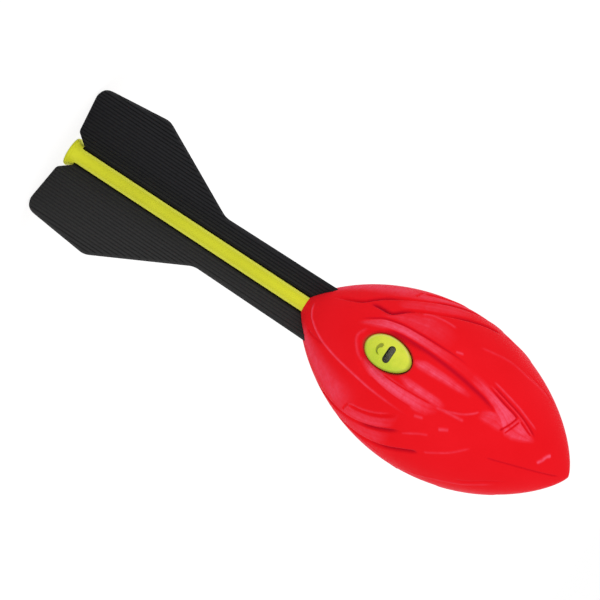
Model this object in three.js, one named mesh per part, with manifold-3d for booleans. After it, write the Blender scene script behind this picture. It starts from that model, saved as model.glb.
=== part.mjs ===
// Foam throwing toy: a sculpted football head on a finned tail, with three whistles let into the head.
// Millimetres, +Z from the tail to the nose. The origin is on the long axis, level with the fins' rear edges.
import * as THREE from "three";
import { mergeVertices } from "three/addons/utils/BufferGeometryUtils.js";
import Module from "manifold-3d";

const wasm = await Module();
wasm.setup();

// Three of everything go round the axis: a whistle in the middle of each sector, a fin between two sectors
const sectorCount = 3;
const sectorTurn = (2 * Math.PI) / sectorCount;
const firstWhistleTurn = -Math.PI / 2;

// Clearance between pieces that seat in each other, and how far a cut runs past what it cuts
const seatGap = 0.3;
const cutOverrun = 2;

// Head: a football of revolution, fuller than an ellipse is at its ends
const headLength = 169.2;
const headRadius = 46;
const headCentreHeight = 234.5;
const headFullnessShare = 0.75;
const headRings = 24;
const headFacets = 48;

// Tail tube: hollow, flared at the rear, blind and anchored by discs inside the head
const tubeRadius = 6.2;
const tubeBoreRadius = 4.2;
const tubeRearHeight = 0.3;
const tubeTopHeight = 206;
const tubeEndWall = 2.5;
const tubeTopBevel = 1;
const tubeFacets = 24;
const flareRadius = 8.1;
const flareLength = 8.1;
const flareLipHeight = 2.6;
const flareLipDepth = 0.9;
const flareLipTurn = Math.PI / 3;
const flareCurveShare = 1.8;
const flareSteps = 5;
const flareLipSteps = 5;
const anchorRadius = 12.5;
const anchorThickness = 2.4;
const anchorPitch = 9;
const anchorCount = 3;
const anchorFirstHeight = 178;

// Fins: ribbed foam sheets that stand in grooves along the tube and end inside the head
const finThickness = 3.2;
const finRibDepth = 0.45;
const finRibPitch = 2.05;
const finGrooveDepth = 0.8;
const finSeatHeight = 6.3;
const finFlareRadius = 7.3;
const finFootInnerRadius = 13.5;
const finHeelRound = 1.5;
const finFootOuterRadius = 43.2;
const finFootRound = 7;
const finShoulderRadius = 47.95;
const finShoulderHeight = 41.5;
const finShoulderRound = 3;
const finNeckRadius = 17.25;
const finNeckHeight = 92;
const finNeckRound = 3;
const finRootRadius = 18.3;
const finRootHeight = 172;
const finRootRound = 2;
const finTurnShare = 0.5;

// Whistles: a domed egg-shaped cap on a hollow cup, let into the foam
const whistleLength = 28.3;
const whistleWidth = 17.6;
const whistleEggShare = 0.08;
const whistleFacets = 24;
const whistleAlongShare = -0.3176;
const whistleTurnShare = 0.0313;
const whistleSink = 3.3;
const capRimThickness = 1.2;
const capCrownRise = 2.4;
const capWall = 1.5;
const capSpigotDepth = 2;
const capSpigotWall = 1;
const slotLength = 9.2;
const slotWidth = 3.6;
const slotOffset = 1.3;
const slotRound = 1.7;
const dimpleOffset = 3.8;
const dimpleRadius = 3;
const dimpleWidth = 1.4;
const dimpleSweep = 2.4;
const dimpleDepth = 0.7;
const cupFlangeThickness = 1.2;
const cupFlangeInset = 1.4;
const cupTaper = 0.6;
const cupWall = 1.2;
const cupFloor = 1.4;
const cupDepth = 6;

// Trough that the whistle lies in: it runs on towards the nose and closes in a point
const troughDepth = 2.3;
const troughHalfWidth = 11.4;
const troughSteps = 10;
const troughPathShares = [
  [-0.54, 0.035], [-0.29, 0.034], [0.01, 0.036], [0.21, 0.047], [0.36, 0.075], [0.465, 0.09],
];
const troughWidthShares = [0.05, 0.8, 1, 1, 0.96, 0.9, 0.74, 0.55, 0.33, 0.15, 0.04];
const troughFloorShares = [[-1, 0], [-0.84, 0.75], [-0.4, 1], [0.4, 1], [0.84, 0.75], [1, 0]];

// Sculpted lines: shares of the half length along the head, and shares of a sector round it from the whistle
const creaseHalfWidth = 2;
const creaseDepth = 1.6;
const creaseSteps = 8;
const creaseSectionShares = [[-1, 0], [0, 1], [1, 0]];
const creaseWidthShares = [0.12, 0.8, 1, 1, 1, 1, 0.8, 0.12];
const creases = [
  {
    sizeShare: 0.7,
    pathShares: [[-0.57, 0.125], [-0.49, 0.2], [-0.39, 0.229], [-0.19, 0.227], [0.11, 0.214]],
  },
  {
    sizeShare: 0.8,
    pathShares: [[-0.9, -0.02], [-0.85, -0.133], [-0.77, -0.19], [-0.61, -0.215], [0.01, -0.217]],
  },
  { sizeShare: 0.8, pathShares: [[-0.85, 0.325], [-0.64, 0.306], [-0.54, 0.375], [-0.41, 0.46]] },
  { sizeShare: 1, pathShares: [[-0.41, 0.46], [-0.19, 0.5625], [0.01, 0.667], [0.16, 0.767]] },
  {
    sizeShare: 1,
    pathShares: [[-0.58, 0.29], [-0.46, 0.28], [-0.29, 0.375], [-0.09, 0.47], [0.16, 0.61], [0.34, 0.733]],
  },
  { sizeShare: 0.75, pathShares: [[-0.36, 0.5875], [-0.19, 0.658], [-0.07, 0.742], [0.06, 0.79]] },
];

const foamRed = new THREE.MeshStandardMaterial({ color: 0xe8141f, roughness: 0.5, metalness: 0 });
const foamBlack = new THREE.MeshStandardMaterial({ color: 0x2b2b2e, roughness: 0.75, metalness: 0 });
const plasticLime = new THREE.MeshStandardMaterial({ color: 0xc9d62c, roughness: 0.35, metalness: 0 });
const plasticDark = new THREE.MeshStandardMaterial({ color: 0x45454a, roughness: 0.6, metalness: 0 });

const headHalfLength = headLength / 2;
const tubeGrooveRadius = tubeRadius - finGrooveDepth;
const finInnerRadius = tubeGrooveRadius + seatGap;

// Solids from closed meshes, and back again
function toSolid(geometry) {
  const bare = geometry.clone();
  bare.deleteAttribute("normal");
  bare.deleteAttribute("uv");
  const welded = mergeVertices(bare);
  const vertProperties = new Float32Array(welded.attributes.position.array);
  const triVerts = new Uint32Array(welded.index.array);
  return new wasm.Manifold(new wasm.Mesh({ numProp: 3, vertProperties, triVerts }));
}

function toGeometry(solid) {
  const mesh = solid.getMesh();
  const geometry = new THREE.BufferGeometry();
  geometry.setAttribute("position", new THREE.BufferAttribute(mesh.vertProperties, mesh.numProp));
  geometry.setIndex(new THREE.BufferAttribute(mesh.triVerts, 1));
  geometry.computeVertexNormals();
  return geometry;
}

function cutAll(solid, tools) {
  return tools.reduce((left, tool) => left.subtract(toSolid(tool)), solid);
}

// A closed skin over rings of points, each ring with as many points, its ends closed to their middles
function skinRings(rings) {
  const count = rings[0].length;
  const total = (ring) => ring.reduce((sum, point) => sum.add(point), new THREE.Vector3());
  const middle = (ring) => total(ring).divideScalar(count);
  const points = [middle(rings[0]), ...rings.flat(), middle(rings[rings.length - 1])];
  const last = points.length - 1;
  const index = [];
  for (let j = 0; j < count; j += 1) {
    const next = (j + 1) % count;
    index.push(0, 1 + next, 1 + j);
    index.push(last, last - count + j, last - count + next);
    for (let i = 0; i + 1 < rings.length; i += 1) {
      const near = 1 + i * count;
      const far = near + count;
      index.push(near + j, near + next, far + next, near + j, far + next, far + j);
    }
  }
  const geometry = new THREE.BufferGeometry().setFromPoints(points);
  geometry.setIndex(index);
  return geometry;
}

// A turned solid on +Z from a profile of [radius, height] that runs up the outside
function turned(profile, facets) {
  const points = profile.map(([radius, height]) => new THREE.Vector2(radius, height));
  return new THREE.LatheGeometry(points, facets).rotateX(Math.PI / 2);
}

function disc(radius, lowHeight, highHeight) {
  return turned([[0, lowHeight], [radius, lowHeight], [radius, highHeight], [0, highHeight]], tubeFacets);
}

// The head's own surface, from shares along it and round it, with the way that the surface faces there
function headRadiusAt(alongShare) {
  return headRadius * (1 - alongShare ** 2) ** headFullnessShare;
}

function headSurface(alongShare, turn) {
  const radius = headRadiusAt(alongShare);
  const round = new THREE.Vector3(Math.cos(turn), Math.sin(turn), 0);
  const point = round.clone().multiplyScalar(radius);
  point.z = headCentreHeight + alongShare * headHalfLength;
  const slope = (-2 * alongShare * headFullnessShare * radius) / (1 - alongShare ** 2) / headHalfLength;
  const normal = new THREE.Vector3(round.x, round.y, -slope).normalize();
  const forward = new THREE.Vector3(round.x * slope, round.y * slope, 1).normalize();
  return { point, normal, forward, radius };
}

// Angles grow from the whistle line towards the fin on its own left, seen from outside with the nose up
function sectorAngle(sector, turnShare) {
  return firstWhistleTurn + sector * sectorTurn - turnShare * sectorTurn;
}

// A cutter that follows a way over the head: rings across the way, below the surface by the section's depths
function surfaceCutter(sector, { pathShares, widthShares, sectionShares, halfWidth, depth, steps }) {
  const way = new THREE.SplineCurve(pathShares.map(([along, turn]) => new THREE.Vector2(along, turn)));
  const rings = [];
  for (let i = 0; i <= steps; i += 1) {
    const share = i / steps;
    const at = way.getPoint(share);
    const tangent = way.getTangent(share);
    const radius = headRadiusAt(at.x);
    const side = new THREE.Vector2(-tangent.y * radius * sectorTurn, tangent.x * headHalfLength).normalize();
    const swell = sampleShares(widthShares, share);
    const place = (across, lift) => {
      const reach = across * swell * halfWidth;
      const along = at.x + (side.x * reach) / headHalfLength;
      const turn = sectorAngle(sector, at.y) - (side.y * reach) / radius;
      const { point, normal } = headSurface(along, turn);
      return point.addScaledVector(normal, lift);
    };
    const floor = sectionShares.map(([across, depthShare]) => place(across, -depthShare * depth * swell));
    const roof = sectionShares.map(([across]) => place(across, cutOverrun)).reverse();
    rings.push([...floor, ...roof]);
  }
  return skinRings(rings);
}

function sampleShares(shares, share) {
  const place = share * (shares.length - 1);
  const low = Math.min(Math.floor(place), shares.length - 2);
  return THREE.MathUtils.lerp(shares[low], shares[low + 1], place - low);
}

// Egg outline of a whistle, blunt towards the tail, drawn in by an inset, or shrunk by a share
function eggRing(inset, height, share = 1) {
  const ring = [];
  for (let j = 0; j < whistleFacets; j += 1) {
    const angle = (2 * Math.PI * j) / whistleFacets;
    const taper = 1 - whistleEggShare * Math.cos(angle);
    const length = (whistleLength / 2 - inset) * share * Math.cos(angle);
    const width = (whistleWidth / 2 - inset) * share * taper * Math.sin(angle);
    ring.push(new THREE.Vector3(length, width, height));
  }
  return ring;
}

function domeRings(inset, rimHeight, rise, shares) {
  return shares.map((share) => eggRing(inset, rimHeight + rise * Math.sqrt(1 - share ** 2), share));
}

function whistleCap() {
  const spigotInset = cupFlangeInset + cupWall + seatGap;
  const boreInset = spigotInset + capSpigotWall;
  const domeShares = [0.3, 0.6, 0.83, 0.96, 1];
  const innerDomeShares = [1, 0.85, 0.5];
  const rings = [
    ...domeRings(0, capRimThickness, capCrownRise, domeShares),
    eggRing(0, 0),
    eggRing(spigotInset, 0),
    eggRing(spigotInset, -capSpigotDepth),
    eggRing(boreInset, -capSpigotDepth),
    ...domeRings(boreInset, capRimThickness, capCrownRise - capWall, innerDomeShares),
  ];
  const solid = toSolid(skinRings(rings.reverse()));
  return toGeometry(cutAll(solid, [slotCutter(), dimpleCutter()]));
}

// The slot lies square to the long axis of the egg and goes right through the cap
function slotCutter() {
  const half = slotLength / 2;
  const edge = slotWidth / 2;
  const shape = roundedOutline([
    { x: slotOffset - edge, y: -half, round: slotRound },
    { x: slotOffset + edge, y: -half, round: slotRound },
    { x: slotOffset + edge, y: half, round: slotRound },
    { x: slotOffset - edge, y: half, round: slotRound },
  ]);
  const depth = capCrownRise + capRimThickness + 2 * cutOverrun;
  return extruded(shape, depth).translate(0, 0, -cutOverrun);
}

// A crescent behind the slot, hollow side towards the nose
function dimpleCutter() {
  const shape = new THREE.Shape();
  const from = Math.PI - dimpleSweep / 2;
  const to = Math.PI + dimpleSweep / 2;
  shape.absarc(-dimpleOffset, 0, dimpleRadius, from, to, false);
  shape.absarc(-dimpleOffset, 0, dimpleRadius - dimpleWidth, to, from, true);
  const floor = capRimThickness + capCrownRise - dimpleDepth;
  return extruded(shape, cutOverrun).translate(0, 0, floor);
}

function whistleCup() {
  const footInset = cupFlangeInset + cupTaper;
  const rings = [
    eggRing(footInset + cupWall, cupFloor - cupDepth),
    eggRing(cupFlangeInset + cupWall, -seatGap),
    eggRing(0, -seatGap),
    eggRing(0, -seatGap - cupFlangeThickness),
    eggRing(cupFlangeInset, -seatGap - cupFlangeThickness),
    eggRing(footInset, -cupDepth),
  ];
  return skinRings(rings.reverse());
}

function whistlePocket() {
  const ledge = -2 * seatGap - cupFlangeThickness;
  const rings = [
    eggRing(-seatGap, whistleSink + cutOverrun),
    eggRing(-seatGap, ledge),
    eggRing(cupFlangeInset - seatGap, ledge),
    eggRing(cupFlangeInset + cupTaper - seatGap, -cupDepth - seatGap),
  ];
  return skinRings(rings.reverse());
}

// Where a whistle sits: sunk below the head's surface, its long axis towards the nose
function whistlePlace(sector) {
  const { point, normal, forward } = headSurface(whistleAlongShare, sectorAngle(sector, whistleTurnShare));
  const across = new THREE.Vector3().crossVectors(normal, forward);
  const place = new THREE.Matrix4().makeBasis(forward, across, normal);
  return place.setPosition(point.addScaledVector(normal, -whistleSink));
}

// An outline with rounded corners, and a plate of it
function roundedOutline(corners) {
  const shape = new THREE.Shape();
  corners.forEach((corner, i) => {
    const before = corners[(i + corners.length - 1) % corners.length];
    const after = corners[(i + 1) % corners.length];
    const start = towards(corner, before);
    const end = towards(corner, after);
    if (i === 0) {
      shape.moveTo(start.x, start.y);
    } else {
      shape.lineTo(start.x, start.y);
    }
    if (corner.round) {
      shape.quadraticCurveTo(corner.x, corner.y, end.x, end.y);
    }
  });
  return shape;
}

function towards(corner, other) {
  const from = new THREE.Vector2(corner.x, corner.y);
  const way = new THREE.Vector2(other.x, other.y).sub(from).normalize();
  return from.addScaledVector(way, corner.round ?? 0);
}

function extruded(shape, depth) {
  return new THREE.ExtrudeGeometry(shape, { depth, bevelEnabled: false, curveSegments: 6 });
}

// A plate that stands along the axis, its outline in [radius, height], centred on the half plane of its turn
function standingPlate(shape, thickness) {
  return extruded(shape, thickness).rotateX(Math.PI / 2).translate(0, thickness / 2, 0);
}

// Section across a fin, ribbed on both faces with the ribs along the axis
function finSection() {
  const crest = finThickness / 2;
  const valley = crest - finRibDepth;
  const ribShares = [[0, valley], [0.12, valley], [0.34, crest], [0.78, crest]];
  const ribCount = Math.ceil((finShoulderRadius - finInnerRadius) / finRibPitch);
  const side = [];
  for (let i = 0; i < ribCount; i += 1) {
    ribShares.forEach(([share, half]) => side.push([finInnerRadius + (i + share) * finRibPitch, half]));
  }
  side.push([finInnerRadius + ribCount * finRibPitch, valley]);
  const face = side.map(([radius, half]) => new THREE.Vector2(radius, half));
  const back = side.map(([radius, half]) => new THREE.Vector2(radius, -half)).reverse();
  return new THREE.Shape([...face, ...back]);
}

function finOutline() {
  return roundedOutline([
    { x: finInnerRadius, y: finSeatHeight },
    { x: finFlareRadius, y: finSeatHeight },
    { x: finFootInnerRadius, y: 0, round: finHeelRound },
    { x: finFootOuterRadius, y: 0, round: finFootRound },
    { x: finShoulderRadius, y: finShoulderHeight, round: finShoulderRound },
    { x: finNeckRadius, y: finNeckHeight, round: finNeckRound },
    { x: finRootRadius, y: finRootHeight, round: finRootRound },
    { x: finInnerRadius, y: finRootHeight },
  ]);
}

function fin() {
  const ribbed = toSolid(extruded(finSection(), finRootHeight));
  return toGeometry(ribbed.intersect(toSolid(standingPlate(finOutline(), finThickness + 2 * cutOverrun))));
}

// A slot for a fin, from the inner radius outwards, wider than the fin by the clearance on each face
function finSlot(innerRadius, outerRadius, lowHeight, highHeight) {
  const width = finThickness + 2 * seatGap;
  const slot = new THREE.BoxGeometry(outerRadius - innerRadius, width, highHeight - lowHeight);
  return slot.translate((outerRadius + innerRadius) / 2, 0, (highHeight + lowHeight) / 2);
}

function finTurn(sector) {
  return sectorAngle(sector, -finTurnShare);
}

// Rear end of the tube: it opens like a trumpet outside and inside, to a fat rounded lip
function lipPoint(turn) {
  const radius = flareRadius - flareLipDepth + flareLipDepth * Math.cos(turn);
  return [radius, tubeRearHeight + (flareLipHeight / 2) * (1 + Math.sin(turn))];
}

function trumpet([lipRadius, lipHeight], endRadius) {
  const points = [];
  for (let i = 1; i <= flareSteps; i += 1) {
    const share = i / flareSteps;
    const radius = endRadius + (lipRadius - endRadius) * (1 - share) ** flareCurveShare;
    points.push([radius, lipHeight + share * (tubeRearHeight + flareLength - lipHeight)]);
  }
  return points;
}

function flareProfile() {
  const lip = [];
  for (let i = 0; i <= flareLipSteps; i += 1) {
    lip.push(lipPoint(-Math.PI + (i / flareLipSteps) * (Math.PI + flareLipTurn)));
  }
  const mouth = trumpet(lip[0], tubeBoreRadius);
  return { mouth, outside: [...lip, ...trumpet(lip[flareLipSteps], tubeRadius)] };
}

function anchorProfile() {
  const anchors = [];
  for (let i = 0; i < anchorCount; i += 1) {
    const low = anchorFirstHeight + i * anchorPitch;
    const high = low + anchorThickness;
    anchors.push([tubeRadius, low], [anchorRadius, low], [anchorRadius, high], [tubeRadius, high]);
  }
  return anchors;
}

function tailTube() {
  const { outside, mouth } = flareProfile();
  const boreTop = tubeTopHeight - tubeEndWall;
  const inside = [...mouth, [tubeBoreRadius, boreTop], [0, boreTop]].reverse();
  const end = [[tubeRadius, tubeTopHeight - tubeTopBevel], [tubeRadius - tubeTopBevel, tubeTopHeight]];
  const profile = [...inside, ...outside, ...anchorProfile(), ...end, [0, tubeTopHeight]];
  const grooves = [];
  for (let sector = 0; sector < sectorCount; sector += 1) {
    const low = finSeatHeight - seatGap;
    const groove = finSlot(tubeGrooveRadius, flareRadius + cutOverrun, low, finRootHeight + seatGap);
    grooves.push(groove.rotateZ(finTurn(sector)));
  }
  return toGeometry(cutAll(toSolid(turned(profile, tubeFacets)), grooves));
}

function headBlank() {
  const profile = [];
  for (let i = 0; i <= headRings; i += 1) {
    const alongShare = -Math.cos((Math.PI * i) / headRings);
    const height = headCentreHeight + alongShare * headHalfLength;
    const onAxis = i === 0 || i === headRings;
    profile.push([onAxis ? 0 : headRadiusAt(alongShare), height]);
  }
  return toSolid(turned(profile, headFacets));
}

// Everything that the tail needs inside the head: the bore, the anchor discs and the fins' slots
function tailHollows() {
  const rear = headCentreHeight - headHalfLength - cutOverrun;
  const hollows = [disc(tubeRadius + seatGap, rear, tubeTopHeight + seatGap)];
  for (let i = 0; i < anchorCount; i += 1) {
    const low = anchorFirstHeight + i * anchorPitch;
    hollows.push(disc(anchorRadius + seatGap, low - seatGap, low + anchorThickness + seatGap));
  }
  for (let sector = 0; sector < sectorCount; sector += 1) {
    hollows.push(finSlot(0, finRootRadius + seatGap, rear, finRootHeight + seatGap).rotateZ(finTurn(sector)));
  }
  return hollows;
}

function sculptedCuts(sector) {
  const trough = surfaceCutter(sector, {
    pathShares: troughPathShares,
    widthShares: troughWidthShares,
    sectionShares: troughFloorShares,
    halfWidth: troughHalfWidth,
    depth: troughDepth,
    steps: troughSteps,
  });
  const lines = creases.map(({ sizeShare, pathShares }) => surfaceCutter(sector, {
    pathShares,
    widthShares: creaseWidthShares,
    sectionShares: creaseSectionShares,
    halfWidth: creaseHalfWidth * sizeShare,
    depth: creaseDepth * sizeShare,
    steps: creaseSteps,
  }));
  return [trough, ...lines];
}

function head() {
  let solid = cutAll(headBlank(), tailHollows());
  for (let sector = 0; sector < sectorCount; sector += 1) {
    solid = cutAll(solid, sculptedCuts(sector));
    solid = cutAll(solid, [whistlePocket().applyMatrix4(whistlePlace(sector))]);
  }
  return toGeometry(solid);
}

function named(name, geometry, material) {
  const mesh = new THREE.Mesh(geometry, material);
  mesh.name = name;
  return mesh;
}

const toy = new THREE.Group();
toy.add(named("head_foam", head(), foamRed));
toy.add(named("tail_tube", tailTube(), plasticLime));
for (let sector = 0; sector < sectorCount; sector += 1) {
  const number = sector + 1;
  const sheet = named(`fin_${number}`, fin(), foamBlack);
  sheet.rotation.z = finTurn(sector);
  toy.add(sheet);
  const whistle = new THREE.Group();
  whistle.add(named(`whistle_cap_${number}`, whistleCap(), plasticLime));
  whistle.add(named(`whistle_cup_${number}`, whistleCup(), plasticDark));
  whistle.applyMatrix4(whistlePlace(sector));
  toy.add(whistle);
}

export default toy;
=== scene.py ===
import math

import bpy
import numpy as np
from mathutils import Matrix, Vector


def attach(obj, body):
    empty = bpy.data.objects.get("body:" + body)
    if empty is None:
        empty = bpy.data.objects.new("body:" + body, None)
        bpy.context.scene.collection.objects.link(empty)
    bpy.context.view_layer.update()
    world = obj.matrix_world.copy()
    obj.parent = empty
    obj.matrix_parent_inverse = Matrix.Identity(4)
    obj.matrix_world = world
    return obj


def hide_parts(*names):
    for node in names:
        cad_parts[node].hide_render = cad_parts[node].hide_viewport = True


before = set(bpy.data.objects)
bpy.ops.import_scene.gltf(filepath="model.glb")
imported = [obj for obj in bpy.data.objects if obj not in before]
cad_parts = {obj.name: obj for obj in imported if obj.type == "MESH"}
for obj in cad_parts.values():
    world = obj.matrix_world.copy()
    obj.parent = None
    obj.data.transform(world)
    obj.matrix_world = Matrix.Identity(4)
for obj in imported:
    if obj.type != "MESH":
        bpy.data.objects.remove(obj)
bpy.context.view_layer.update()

# Lengths are in millimetres and go to metres when a mesh is made, and angles are in degrees
MM = 0.001
SECTORS = 3
SECTOR_TURN = 360 / SECTORS
FIRST_WHISTLE_AZIMUTH = -90
SEAT_GAP = 0.3
CUT_MARGIN = 2.0
SHARP_ANGLE = 35

# Head: a football of revolution, fuller than an ellipse is at its ends
HEAD_LENGTH = 169.2
HEAD_RADIUS = 46.0
HEAD_CENTRE_HEIGHT = 234.5
HEAD_FULLNESS = 0.75
HEAD_HALF = HEAD_LENGTH / 2
HEAD_REAR_HEIGHT = HEAD_CENTRE_HEIGHT - HEAD_HALF
HEAD_STEP = 0.45
SECTOR_COLUMNS = 216
MERIDIAN_POINTS = 20001
MOULD_SOFTNESS = 0.3

# Tail tube
TUBE_RADIUS = 6.2
TUBE_BORE_RADIUS = 4.2
TUBE_REAR_HEIGHT = 0.3
TUBE_TOP_HEIGHT = 206.0
TUBE_TOP_EASE = 1.0
TUBE_END_WALL = 2.5
TUBE_COLUMNS = 144
FLARE_RADIUS = 8.1
FLARE_LENGTH = 8.1
FLARE_LIP_HEIGHT = 2.6
FLARE_LIP_DEPTH = 0.9
FLARE_LIP_TURN = 78
FLARE_LIP_POINTS = 15
FLARE_CURVE = 1.8
FLARE_STEPS = 14
ANCHOR_RADIUS = 12.5
ANCHOR_THICKNESS = 2.4
ANCHOR_HEIGHTS = (178.0, 187.0, 196.0)
FIN_GROOVE_DEPTH = 0.8
GROOVE_RADIUS = TUBE_RADIUS - FIN_GROOVE_DEPTH

# Fins: each corner is a place and the length that its round takes of each side
FIN_THICKNESS = 3.2
FIN_EDGE_EASE = 0.35
FIN_BLANK_MARGIN = 1.0
FIN_BLANK_DRAW = 0.3
FIN_RIB_DEPTH = 0.45
FIN_RIB_PITCH = 2.05
FIN_RIB_STEPS = 12
FIN_RIB_START = 0.5
FIN_VALLEY_WIDTH = 0.35
FIN_SHARP_ANGLE = 50
FIN_SEAT_HEIGHT = 6.3
FIN_ROOT_RADIUS = 18.3
FIN_ROOT_HEIGHT = 172.0
FIN_SEAT_TOP = FIN_ROOT_HEIGHT + SEAT_GAP
FIN_SEAT_HALF = FIN_THICKNESS / 2 + SEAT_GAP
FIN_INNER_RADIUS = GROOVE_RADIUS + SEAT_GAP
FIN_CORNERS = (
    (FIN_INNER_RADIUS, FIN_SEAT_HEIGHT, 0),
    (7.3, FIN_SEAT_HEIGHT, 0),
    (13.5, 0.0, 1.5),
    (43.2, 0.0, 7.0),
    (47.95, 41.5, 3.0),
    (17.25, 92.0, 3.0),
    (FIN_ROOT_RADIUS, FIN_ROOT_HEIGHT, 2.0),
    (FIN_INNER_RADIUS, FIN_ROOT_HEIGHT, 0),
)
FIN_CORNER_POINTS = 10
MITRE_LIMIT = 0.5

# Whistles
WHISTLE_LENGTH = 28.3
WHISTLE_WIDTH = 17.6
WHISTLE_EGG = 0.08
WHISTLE_ALONG = -0.3176
WHISTLE_TURN = 3.756
WHISTLE_SINK = 3.3
CAP_RIM = 1.2
CAP_RISE = 2.4
CAP_WALL = 1.5
CAP_EDGE_EASE = 0.25
CAP_SPIGOT_DEPTH = 2.0
CAP_SPIGOT_WALL = 1.0
CAP_COLUMNS = 240
CUP_FLANGE = 1.2
CUP_FLANGE_INSET = 1.4
CUP_TAPER = 0.6
CUP_WALL = 1.2
CUP_DEPTH = 6.0
POCKET_COLUMNS = 160
SLOT_LENGTH = 9.2
SLOT_WIDTH = 3.6
SLOT_HALF = (SLOT_LENGTH - SLOT_WIDTH) / 2
SLOT_OFFSET = (1.45, -0.25)
SLOT_LIP = 0.3
SLOT_LEAN = 0.5
SLOT_COLUMNS = 64

# Crescent dimple in a cap, whose half width changes with the angle about its centre
DIMPLE_CENTRE = (-3.45, -0.4)
DIMPLE_RADIUS = 2.7
DIMPLE_DEPTH = 0.7
DIMPLE_EDGE = (-0.15, 0.55)
DIMPLE_WIDTH = (
    (96, 0), (108, 1.2), (130, 1.4), (155, 1.1), (200, 0.75), (240, 0.55), (262, 0.3), (275, 0),
)

# Rings of a cap's dome, as shares of the way out: even angles near its edge, then even steps
CAP_HOLLOW_SHARES = np.sin(np.linspace(0.05, math.pi / 2, 12))
CAP_DOME_SHARES = np.append(np.sin(np.linspace(math.pi / 2, 0.9, 12)), np.linspace(0.77, 0.01, 90))

# Painted shade, rim highlight and lit side on a cap. A side is a slope and the two places
# between which it grows across the cap
SLOT_SHADE = (0.48, 0.18)
CRESCENT_SHADE = 0.55
CRESCENT_SIDE = (-1, -3, 3)
EDGE_SHADE = 0.42
EDGE_START = 0.87
RIM_HIGHLIGHT_SHARES = (0.87, 0.92, 0.94, 0.97)
RIM_HIGHLIGHT_SIDE = (-0.2, 0, 5)
LIT_CAP_SIDE = (0.15, -8, 6)

# Camera: the photograph's frame is 600 pixels square, and the toy's axis crosses it at a slant.
# The scale is in pixels for each millimetre
PHOTO_SIDE = 600
CAMERA_DISTANCE = 2000.0
CAMERA_ELEVATION = 7.897
CAMERA_AZIMUTH = 0.654
CAMERA_ROLL = 33.299
CAMERA_SCALE = 1.8806
CAMERA_CLIP = 100000
AIM_HEIGHT = 148.5
AIM_PIXEL = (299.56, 300.62)
SENSOR_WIDTH = 36.0

# Studio: a lamp's name, place, size and power
WORLD_LEVEL = 0.88
LAMPS = (
    ("key", (-1500, -900, 350), (900, 900), 3.5),
    ("fill", (900, -1500, 200), (1200, 1200), 6.0),
)
FLOOR_HALF = 9000
FLOOR_GREYS = ((0.8, 0.8, 0.8), (0.82, 0.82, 0.82))
FLOOR_SHADOW_GREY = 0.3
FLOOR_GLOW = 0.8

# Colours. Where a name has two, the surface lies between them
SKIN_REDS = ((0.85, 0.0080, 0.0135), (0.89, 0.0104, 0.0175))
# Painted sheen and highlight on the skin, and painted shade in its grooves
PAINTED_SHEEN_RED = (0.95, 0.088, 0.158)
PAINTED_SHADE_RED = (0.42, 0.001, 0.018)
# Painted shade round a cap, tinted by painted light thrown back from the lime cap
SHADE_AND_CAP_BOUNCE_RED = (0.5, 0.075, 0.03)
# Fin blacks, darker on the side painted as shaded and paler on the side painted as lit
SHADED_AND_LIT_CREST_BLACKS = ((0.019, 0.019, 0.021), (0.034, 0.034, 0.034))
# Painted shade in the valleys between a fin's ribs, on the shaded and the lit side
VALLEY_SHADE_BLACKS = ((0.010, 0.010, 0.011), (0.025, 0.025, 0.025))
SPECK_BLACK = (0.012, 0.012, 0.013)
# Painted shade where a fin sits in the tube's groove
SEAT_SHADE_BLACK = (0.004, 0.0035, 0.001)
TUBE_LIMES = ((0.645, 0.662, 0.022), (0.68, 0.698, 0.028))
FLARE_LIME = (0.80, 0.82, 0.03)
NECK_LIME = (0.74, 0.76, 0.026)
# A painted highlight along the edges of the fins' grooves on the tube
GROOVE_HIGHLIGHT_LIME = (0.88, 0.90, 0.095)
# Cap limes: greener where painted as shaded and paler where painted as lit
CAP_SHADED_AND_LIT_LIMES = ((0.52, 0.66, 0.03), (0.72, 0.77, 0.05))
# A painted highlight along a cap's rim
RIM_HIGHLIGHT_LIME = (0.84, 0.76, 0.16)
# Painted shade at a cap's slot, dimple and outline
CAP_SHADE_DARK = (0.014, 0.016, 0.003)
# Lit and shaded copies of the cup's grey: a pale floor as painted light, a near black flange as
# painted shade
CUP_LIT_GREYS = ((0.58, 0.55, 0.5), (0.64, 0.61, 0.56))
FLANGE_SHADE_DARK = (0.02, 0.018, 0.014)

# Places between which a colour grows: heights on the tube, distances from the axis and along X
# on the fins, and levels in a whistle
FLARE_FADE = (FLARE_LENGTH + 30, FLARE_LENGTH - 2)
NECK_FADE = (FIN_ROOT_HEIGHT - 55, FIN_ROOT_HEIGHT - 22)
GROOVE_HIGHLIGHT_FADE = (FIN_SEAT_HEIGHT - 2, FIN_SEAT_HEIGHT + 3)
SEAT_SHADE_FADE = (TUBE_RADIUS + 1.5, TUBE_RADIUS + 0.7)
LIT_SIDE_FADE = (-12, 12)
CUP_SHADE_FADE = (-4.4, -2.6)

# Sculpture of the head, alike in each sector. A place is a share of the half length along the
# axis, negative towards the tail, and a turn from the whistle's line
NEIGHBOURS = (-SECTOR_TURN, 0, SECTOR_TURN)
NEIGHBOUR_REACH = 8
LINE_FADE = (0.1, 0.12)
ZONE_EDGE = 1.6
MOAT_START = 0.1
MOAT_WIDTH = 0.8
MOAT_DEPTH = 1.4
MOAT_SHADE_START = 0.3
MOAT_SHADE_WIDTH = 0.9
GRIP_ALONG = (-0.93, -0.85, -0.5, -0.3)
GRIP_TURN = (50, 66, 68, 90)
GRIP_PITCH = 2.1
GRIP_RISE = 0.09
GRIP_SHEEN = 0.5

# Streaks in the painted sheen: their count and depth across a patch, and how they waver along it
STREAK_SEED = 7
STREAK_WAVES = ((1.5, 0.15), (2.7, 0.15), (4.6, 0.12), (7.9, 0.08))
STREAK_WAVER = 2
STREAK_BENDS = 5

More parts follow.
